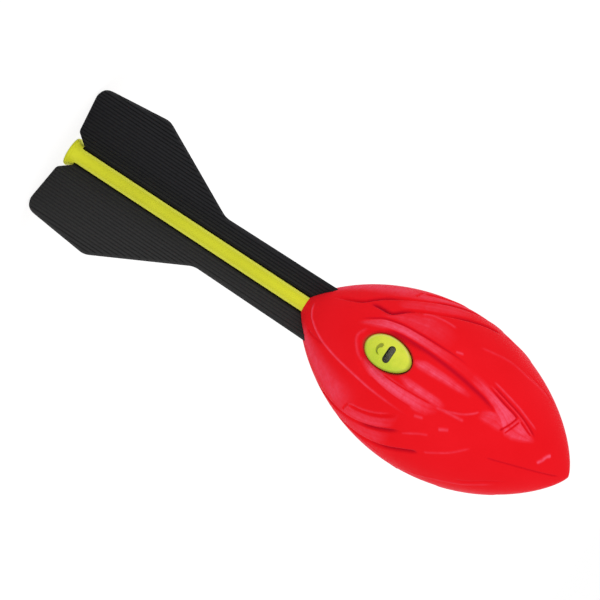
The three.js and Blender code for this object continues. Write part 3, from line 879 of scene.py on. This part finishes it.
# Tail
def trumpet(lip, end_radius):
    """The curve from a point on the flare's lip to the plain tube."""
    lip_radius, lip_height = lip
    shares = np.arange(1, FLARE_STEPS + 1) / FLARE_STEPS
    radius = end_radius + (lip_radius - end_radius) * (1 - shares) ** FLARE_CURVE
    height = lip_height + shares * (TUBE_REAR_HEIGHT + FLARE_LENGTH - lip_height)
    return list(zip(radius, height))


def flare_profile():
    """Down the mouth, round the beaded lip and up the outside."""
    turns = np.linspace(-math.pi, math.radians(FLARE_LIP_TURN), FLARE_LIP_POINTS)
    radius = FLARE_RADIUS - FLARE_LIP_DEPTH * (1 - np.cos(turns))
    height = TUBE_REAR_HEIGHT + FLARE_LIP_HEIGHT / 2 * (1 + np.sin(turns))
    lip = list(zip(radius, height))
    return trumpet(lip[0], TUBE_BORE_RADIUS)[::-1] + lip + trumpet(lip[-1], TUBE_RADIUS)


def make_tube():
    """The tube: its blind bore, flared end, anchor discs inside the head and the fins' grooves."""
    profile = [(TUBE_BORE_RADIUS, TUBE_TOP_HEIGHT - TUBE_END_WALL), *flare_profile()]
    for low in ANCHOR_HEIGHTS:
        high = low + ANCHOR_THICKNESS
        profile += [(TUBE_RADIUS, low), (ANCHOR_RADIUS, low)]
        profile += [(ANCHOR_RADIUS, high), (TUBE_RADIUS, high)]
    profile.append((TUBE_RADIUS, TUBE_TOP_HEIGHT - TUBE_TOP_EASE))
    profile.append((TUBE_RADIUS - TUBE_TOP_EASE, TUBE_TOP_HEIGHT))
    tube = skin("tube", lathe(profile, circle(TUBE_COLUMNS)))
    cut(tube, [fin_groove(sector) for sector in range(SECTORS)])
    return tube


# Fins
def to_fin(piece, sector):
    """Turns a piece from beside the X axis to a fin's place."""
    azimuth = math.radians(sector_azimuth(sector + 0.5))
    piece.data.transform(Matrix.Rotation(azimuth, 4, "Z"))
    return piece


def fin_slot(sector):
    """A cutter in the head for a fin's root, eased at its outer edge."""
    half = FIN_SEAT_HALF
    reach = FIN_ROOT_RADIUS + SEAT_GAP
    outline = ((0, -half), (reach - half, -half), (reach, -half / 2), (reach, half / 2),
               (reach - half, half), (0, half))
    return to_fin(prism("slot", outline, HEAD_REAR_HEIGHT - CUT_MARGIN, FIN_SEAT_TOP), sector)


def fin_groove(sector):
    """A cutter in the tube and its discs for a fin's inner edge."""
    half = FIN_SEAT_HALF
    reach = ANCHOR_RADIUS + CUT_MARGIN
    outline = ((GROOVE_RADIUS, -half), (reach, -half), (reach, half), (GROOVE_RADIUS, half))
    return to_fin(prism("groove", outline, FIN_SEAT_HEIGHT - SEAT_GAP, FIN_SEAT_TOP), sector)


def rounded(corners):
    """An outline whose corners, each a place and a round, are eased by a curve."""
    outline = []
    for i, (x, y, ease) in enumerate(corners):
        corner = Vector((x, y))
        if not ease:
            outline.append(corner)
            continue
        before = Vector(corners[i - 1][:2])
        after = Vector(corners[(i + 1) % len(corners)][:2])
        start = corner + (before - corner).normalized() * ease
        end = corner + (after - corner).normalized() * ease
        for t in np.linspace(0, 1, FIN_CORNER_POINTS):
            outline.append(start * (1 - t)**2 + corner * 2 * t * (1 - t) + end * t**2)
    return outline


def inset(outline, distance):
    """The outline moved inwards by the distance, for one that runs anticlockwise."""
    moved = []
    for i, point in enumerate(outline):
        before = (point - outline[i - 1]).normalized()
        after = (outline[(i + 1) % len(outline)] - point).normalized()
        normal = Vector((-(before + after).y, (before + after).x)).normalized()
        spread = max(normal.dot(Vector((-before.y, before.x))), MITRE_LIMIT)
        moved.append(point + normal * distance / spread)
    return moved


def make_fin(sector):
    """A foam sheet with rounded ribs on both faces, cut to the fin's outline with eased edges."""
    outline = rounded(FIN_CORNERS)
    crest, ease = FIN_THICKNESS / 2, FIN_EDGE_EASE
    blank = (crest + FIN_BLANK_MARGIN, ease + FIN_BLANK_DRAW)
    layers = (blank, (crest, ease), (crest - ease, 0))
    layers += tuple((-y, draw) for y, draw in reversed(layers))
    rings = [[(p.x, -y, p.y) for p in inset(outline, draw)] for y, draw in layers]
    plate = skin(f"fin_{sector + 1}", rings)
    reach = max(x for x, _, _ in FIN_CORNERS) + FIN_BLANK_MARGIN
    across = np.arange(FIN_INNER_RADIUS - FIN_RIB_START, reach, FIN_RIB_PITCH / FIN_RIB_STEPS)
    wave = np.cos(2 * math.pi * (across - FIN_INNER_RADIUS) / FIN_RIB_PITCH)
    face = crest - FIN_RIB_DEPTH * bell((1 - wave) / FIN_VALLEY_WIDTH)
    section = np.stack([np.append(across[::-1], across), np.append(face[::-1], -face)], -1)
    ribs = prism("ribs", section, -CUT_MARGIN, FIN_ROOT_HEIGHT + CUT_MARGIN)
    cut(plate, [ribs], "INTERSECT", FIN_SHARP_ANGLE)
    return to_fin(plate, sector)


# Materials
class Nodes:
    """Procedural nodes of a material or of the world. An input is a plain value or an output."""

    def __init__(self, owner):
        owner.use_nodes = True
        self.owner = owner
        self.tree = owner.node_tree

    def feed(self, socket, value):
        """Sets an input, or links an output to it."""
        if isinstance(value, bpy.types.NodeSocket):
            self.tree.links.new(value, socket)
        else:
            socket.default_value = value

    def new(self, kind, *values, operation=None, **named_values):
        """A node with its inputs given in their order or by name."""
        node = self.tree.nodes.new(kind)
        if operation:
            node.operation = operation
        for socket, value in zip(node.inputs, values):
            self.feed(socket, value)
        self.fill(node, named_values)
        return node

    def fill(self, node, named_values):
        """Inputs by name, with low lines for the spaces."""
        for name, value in named_values.items():
            self.feed(node.inputs[name.replace("_", " ")], value)

    def math(self, operation, *values):
        return self.new("ShaderNodeMath", *values, operation=operation).outputs["Value"]

    def place(self):
        """The place on the object, in metres in the toy's own frame."""
        return self.new("ShaderNodeTexCoord").outputs["Object"]

    def axes(self):
        return self.new("ShaderNodeSeparateXYZ", self.place()).outputs

    def marked(self, name):
        """A number that the mesh carries at its points."""
        node = self.new("ShaderNodeAttribute")
        node.attribute_name = name
        return node.outputs["Fac"]

    def noise(self, scale, detail=2.0, roughness=0.5):
        node = self.new("ShaderNodeTexNoise", Vector=self.place(), Scale=scale, Detail=detail,
                        Roughness=roughness)
        return node.outputs["Fac"]

    def spread(self, source, low, high, low_in=0.3, high_in=0.7, clamp=True):
        """The source between two numbers."""
        node = self.new("ShaderNodeMapRange", source, low_in, high_in, low, high)
        node.clamp = clamp
        return node.outputs["Result"]

    def fade(self, source, low, high):
        """From zero to one between two places in millimetres."""
        return self.spread(source, 0, 1, low * MM, high * MM)

    def blend(self, factor, first, second):
        """From one colour to another."""
        node = self.new("ShaderNodeMix")
        node.data_type = "RGBA"
        first, second = (value if isinstance(value, bpy.types.NodeSocket) else (*value, 1)
                         for value in (first, second))
        self.fill(node, {"Factor": factor, "A": first, "B": second})
        return node.outputs["Result"]

    def wander(self, colours, scale, detail=3):
        """A colour that wanders between two over the surface."""
        return self.blend(self.spread(self.noise(scale, detail), 0, 1), *colours)

    def from_axis(self):
        """The distance from the toy's axis."""
        flat = self.new("ShaderNodeVectorMath", self.place(), (1, 1, 0), operation="MULTIPLY")
        return self.new("ShaderNodeVectorMath", flat.outputs["Vector"],
                        operation="LENGTH").outputs["Value"]

    def over(self, normal):
        """The height along a slanting direction in the plane of the axis, the same all round."""
        tall = self.math("MULTIPLY", self.axes()["Z"], normal.z)
        return self.math("MULTIPLY_ADD", self.from_axis(), normal.x, tall)

    def beside_fins(self):
        """From zero in the middle between two fins to one at their faces."""
        axes = self.axes()
        turn = self.math("ARCTAN2", axes["Y"], axes["X"])
        # The wave is lowest at 90 degrees and a third of a turn either way, where the fins stand
        wave = self.math("SINE", self.math("MULTIPLY", turn, SECTORS))
        return self.spread(wave, 1, 0, -0.4, 0.4)

    def valleys(self):
        """One in the valleys between a fin's ribs, which run at even steps from the axis."""
        start, end = FIN_INNER_RADIUS * MM, (FIN_INNER_RADIUS + FIN_RIB_PITCH) * MM
        phase = self.spread(self.from_axis(), 0, 2 * math.pi, start, end, clamp=False)
        return self.spread(self.math("COSINE", phase), 0, 1, 0.1, 0.9)

    def background(self):
        """One for what shows the background: the camera, and rays mirrored or sent on."""
        path = self.new("ShaderNodeLightPath").outputs
        seen = self.math("MAXIMUM", path["Is Camera Ray"], path["Is Glossy Ray"])
        return self.math("MAXIMUM", seen, path["Is Transmission Ray"])

    def bump(self, source, depth, **after):
        """A bump of the depth in millimetres over the source."""
        node = self.new("ShaderNodeBump", Height=source, Distance=depth * MM, Strength=1, **after)
        return node.outputs["Normal"]

    def surface(self, **inputs):
        """The material with these inputs of its shader."""
        self.fill(self.tree.nodes["Principled BSDF"], inputs)
        return self.owner


def material_nodes(name):
    return Nodes(bpy.data.materials.new(name))


def foam_red():
    """Moulded skin, with speckled painted sheen and painted shade in grooves and round caps."""
    nodes = material_nodes("red foam skin")
    marked = nodes.marked("painted_light")
    speck = nodes.spread(nodes.noise(650, 3, 0.6), 0.8, 1.1)
    patches = nodes.spread(nodes.noise(230, 3, 0.6), 0.62, 1.3)
    # Painted sheen where the mark is positive, in specks and patches; painted shade where negative
    painted_light = nodes.math("MULTIPLY", marked, nodes.math("MULTIPLY", speck, patches))
    colour = nodes.wander(SKIN_REDS, 28)
    colour = nodes.blend(painted_light, colour, PAINTED_SHEEN_RED)
    colour = nodes.blend(nodes.spread(marked, 1, 0, -1, 0), colour, PAINTED_SHADE_RED)
    fine = nodes.bump(nodes.noise(1500), 0.02)
    return nodes.surface(
        # A ring of painted shade round each cap, tinted by painted light from the lime cap
        Base_Color=nodes.blend(nodes.marked("glow"), colour, SHADE_AND_CAP_BOUNCE_RED),
        Roughness=nodes.spread(painted_light, 0.42, 0.6, 0, 1),
        Normal=nodes.bump(nodes.noise(180), 0.1, Normal=fine),
        Specular_IOR_Level=0.004,
        Sheen_Weight=0.3,
        Sheen_Roughness=0.3,
        Sheen_Tint=(1, 0.35, 0.5, 1),
    )


def foam_black():
    """Foam sheet, painted with shade in its rib valleys and at the tube, and lit on one side."""
    nodes = material_nodes("black foam sheet")
    # Painted light: paler on the +X side, which is painted as lit, darker on the other side
    fin_lit_side = nodes.fade(nodes.axes()["X"], *LIT_SIDE_FADE)
    crest = nodes.blend(fin_lit_side, *SHADED_AND_LIT_CREST_BLACKS)
    valley = nodes.blend(fin_lit_side, *VALLEY_SHADE_BLACKS)
    speck = nodes.spread(nodes.noise(900, 3, 0.6), 0, 0.25)
    # Painted shade in the valleys between the ribs; the specks are the sheet's own
    colour = nodes.blend(speck, nodes.blend(nodes.valleys(), crest, valley), SPECK_BLACK)
    # Painted shade where the fin sits in the tube's groove
    return nodes.surface(
        Base_Color=nodes.blend(nodes.fade(nodes.from_axis(), *SEAT_SHADE_FADE), colour, SEAT_SHADE_BLACK),
        Roughness=nodes.spread(nodes.noise(400), 0.6, 0.8),
        Normal=nodes.bump(nodes.noise(2200, 3), 0.08),
        Specular_IOR_Level=0.08,
    )


def moulded(nodes, colour, low, high, specular):
    """Moulded plastic, whose gloss wanders between two roughnesses."""
    return nodes.surface(
        Base_Color=colour,
        Roughness=nodes.spread(nodes.noise(300, 3), low, high),
        Normal=nodes.bump(nodes.noise(900), 0.02),
        Specular_IOR_Level=specular,
    )


def tube_plastic():
    """Lime plastic with a painted highlight by the fins' grooves, a little lighter towards its
    ends.
    """
    nodes = material_nodes("tail plastic")
    height = nodes.axes()["Z"]
    colour = nodes.wander(TUBE_LIMES, 60)
    colour = nodes.blend(nodes.fade(height, *FLARE_FADE), colour, FLARE_LIME)
    colour = nodes.blend(nodes.fade(height, *NECK_FADE), colour, NECK_LIME)
    # A painted highlight along the fins' grooves, from just above the flared end
    groove = nodes.math("MULTIPLY", nodes.beside_fins(), nodes.fade(height, *GROOVE_HIGHLIGHT_FADE))
    return moulded(nodes, nodes.blend(groove, colour, GROOVE_HIGHLIGHT_LIME), 0.42, 0.5, 0.15)


def cap_plastic():
    """Lime plastic with painted light: a shaded and a lit side, a rim highlight and marked shade.
    """
    nodes = material_nodes("whistle plastic")
    patches = nodes.spread(nodes.noise(220), -0.25, 0.25)
    # Greener on the side painted as shaded and paler on the side painted as lit, in random patches
    colour = nodes.blend(nodes.math("ADD", nodes.marked("cap_lit_side"), patches), *CAP_SHADED_AND_LIT_LIMES)
    # A painted highlight along the rim
    colour = nodes.blend(nodes.marked("rim"), colour, RIM_HIGHLIGHT_LIME)
    # Painted shade at the slot, in the dimple and round the outline
    return moulded(nodes, nodes.blend(nodes.marked("painted_shade"), colour, CAP_SHADE_DARK), 0.3, 0.38, 0.3)


def cup_plastic():
    """Painted light on the cup's grey: pale on the chamber's floor and shaded near black at its
    flange.
    """
    nodes = material_nodes("whistle cup plastic")
    point, normal, _ = head_frame(WHISTLE_ALONG, 0)
    level = point.dot(normal) - WHISTLE_SINK
    rise = nodes.fade(nodes.over(normal), *(level + place for place in CUP_SHADE_FADE))
    # Painted light and shade: the pale floor below, the near black flange above
    colour = nodes.blend(rise, nodes.wander(CUP_LIT_GREYS, 60), FLANGE_SHADE_DARK)
    return moulded(nodes, colour, 0.5, 0.6, 0.2)


def floor_white():
    """A floor that the camera sees as plain white, but for the object's shadow."""
    nodes = material_nodes("floor")
    nodes.tree.nodes.remove(nodes.tree.nodes["Principled BSDF"])
    plain = nodes.new("ShaderNodeBsdfDiffuse", nodes.wander(FLOOR_GREYS, 3, 2))
    faint = nodes.new("ShaderNodeBsdfDiffuse", (*[FLOOR_SHADOW_GREY] * 3, 1))
    glow = nodes.new("ShaderNodeEmission", (1, 1, 1, 1), FLOOR_GLOW)
    seen = nodes.new("ShaderNodeAddShader", faint.outputs[0], glow.outputs[0])
    both = nodes.new("ShaderNodeMixShader", nodes.background(), plain.outputs[0], seen.outputs[0])
    nodes.feed(nodes.tree.nodes["Material Output"].inputs["Surface"], both.outputs[0])
    return nodes.owner


# Studio
def make_world():
    """White where it shows, and a little softer as light on the object."""
    nodes = Nodes(bpy.data.worlds.new("studio"))
    level = nodes.spread(nodes.background(), WORLD_LEVEL, 1, 0, 1)
    nodes.fill(nodes.tree.nodes["Background"], {"Color": (1, 1, 1, 1), "Strength": level})
    bpy.context.scene.world = nodes.owner


def make_lamps():
    """Large square lamps that look at the middle of the toy."""
    aim = Vector((0, 0, AIM_HEIGHT)) * MM
    for name, place, size, power in LAMPS:
        light = bpy.data.lights.new(name, "AREA")
        light.shape = "RECTANGLE"
        light.size, light.size_y = size[0] * MM, size[1] * MM
        light.energy = power
        lamp = add_object(name, light)
        lamp.location = Vector(place) * MM
        lamp.rotation_euler = (aim - lamp.location).to_track_quat("-Z", "Y").to_euler()


def make_floor():
    half = FLOOR_HALF
    points = [(-half, -half, 0), (half, -half, 0), (half, half, 0), (-half, half, 0)]
    floor = mesh_object("floor", points, [(0, 1, 2, 3)])
    floor.data.materials.append(floor_white())


def make_camera():
    """A camera at the photograph's angle, rolled so that the toy lies in the picture as there."""
    azimuth, elevation, roll = map(math.radians, (CAMERA_AZIMUTH, CAMERA_ELEVATION, CAMERA_ROLL))
    back = Vector((-math.sin(azimuth) * math.cos(elevation),
                   -math.cos(azimuth) * math.cos(elevation), math.sin(elevation)))
    nose = (Vector((0, 0, 1)) - back * back.z).normalized()
    side = nose.cross(back)
    right = nose * math.cos(roll) - side * math.sin(roll)
    up = -nose * math.sin(roll) - side * math.cos(roll)
    off_x = (PHOTO_SIDE / 2 - AIM_PIXEL[0]) / CAMERA_SCALE
    off_y = (AIM_PIXEL[1] - PHOTO_SIDE / 2) / CAMERA_SCALE
    aim = Vector((0, 0, AIM_HEIGHT)) + right * off_x + up * off_y
    data = bpy.data.cameras.new("camera")
    data.sensor_width = SENSOR_WIDTH
    data.lens = CAMERA_SCALE * CAMERA_DISTANCE / PHOTO_SIDE * SENSOR_WIDTH
    data.clip_end = CAMERA_CLIP * MM
    camera = add_object("camera", data)
    camera.matrix_world = frame_at(right, up, back, aim + back * CAMERA_DISTANCE)
    bpy.context.scene.camera = camera


def dress(piece, material, node):
    """Gives a piece its material, lets it ride with the toy and stands it in for its CAD node."""
    piece.data.materials.clear()
    piece.data.materials.append(material)
    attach(piece, "root")
    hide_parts(node)


def make_toy():
    """All pieces. The cups are the CAD model's own, with a material of painted light and shade."""
    head = make_head()
    dress(head, foam_red(), "head_foam")
    dress(make_tube(), tube_plastic(), "tail_tube")
    lime, black, grey = cap_plastic(), foam_black(), cup_plastic()
    for sector in range(SECTORS):
        number = sector + 1
        sheet = make_fin(sector)
        dress(sheet, black, f"fin_{number}")
        dress(make_cap(sector), lime, f"whistle_cap_{number}")
        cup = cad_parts[f"whistle_cup_{number}"]
        cup.data.materials.clear()
        cup.data.materials.append(grey)


bpy.context.scene.view_settings.view_transform = "Standard"
make_toy()
make_floor()
make_world()
make_lamps()
make_camera()
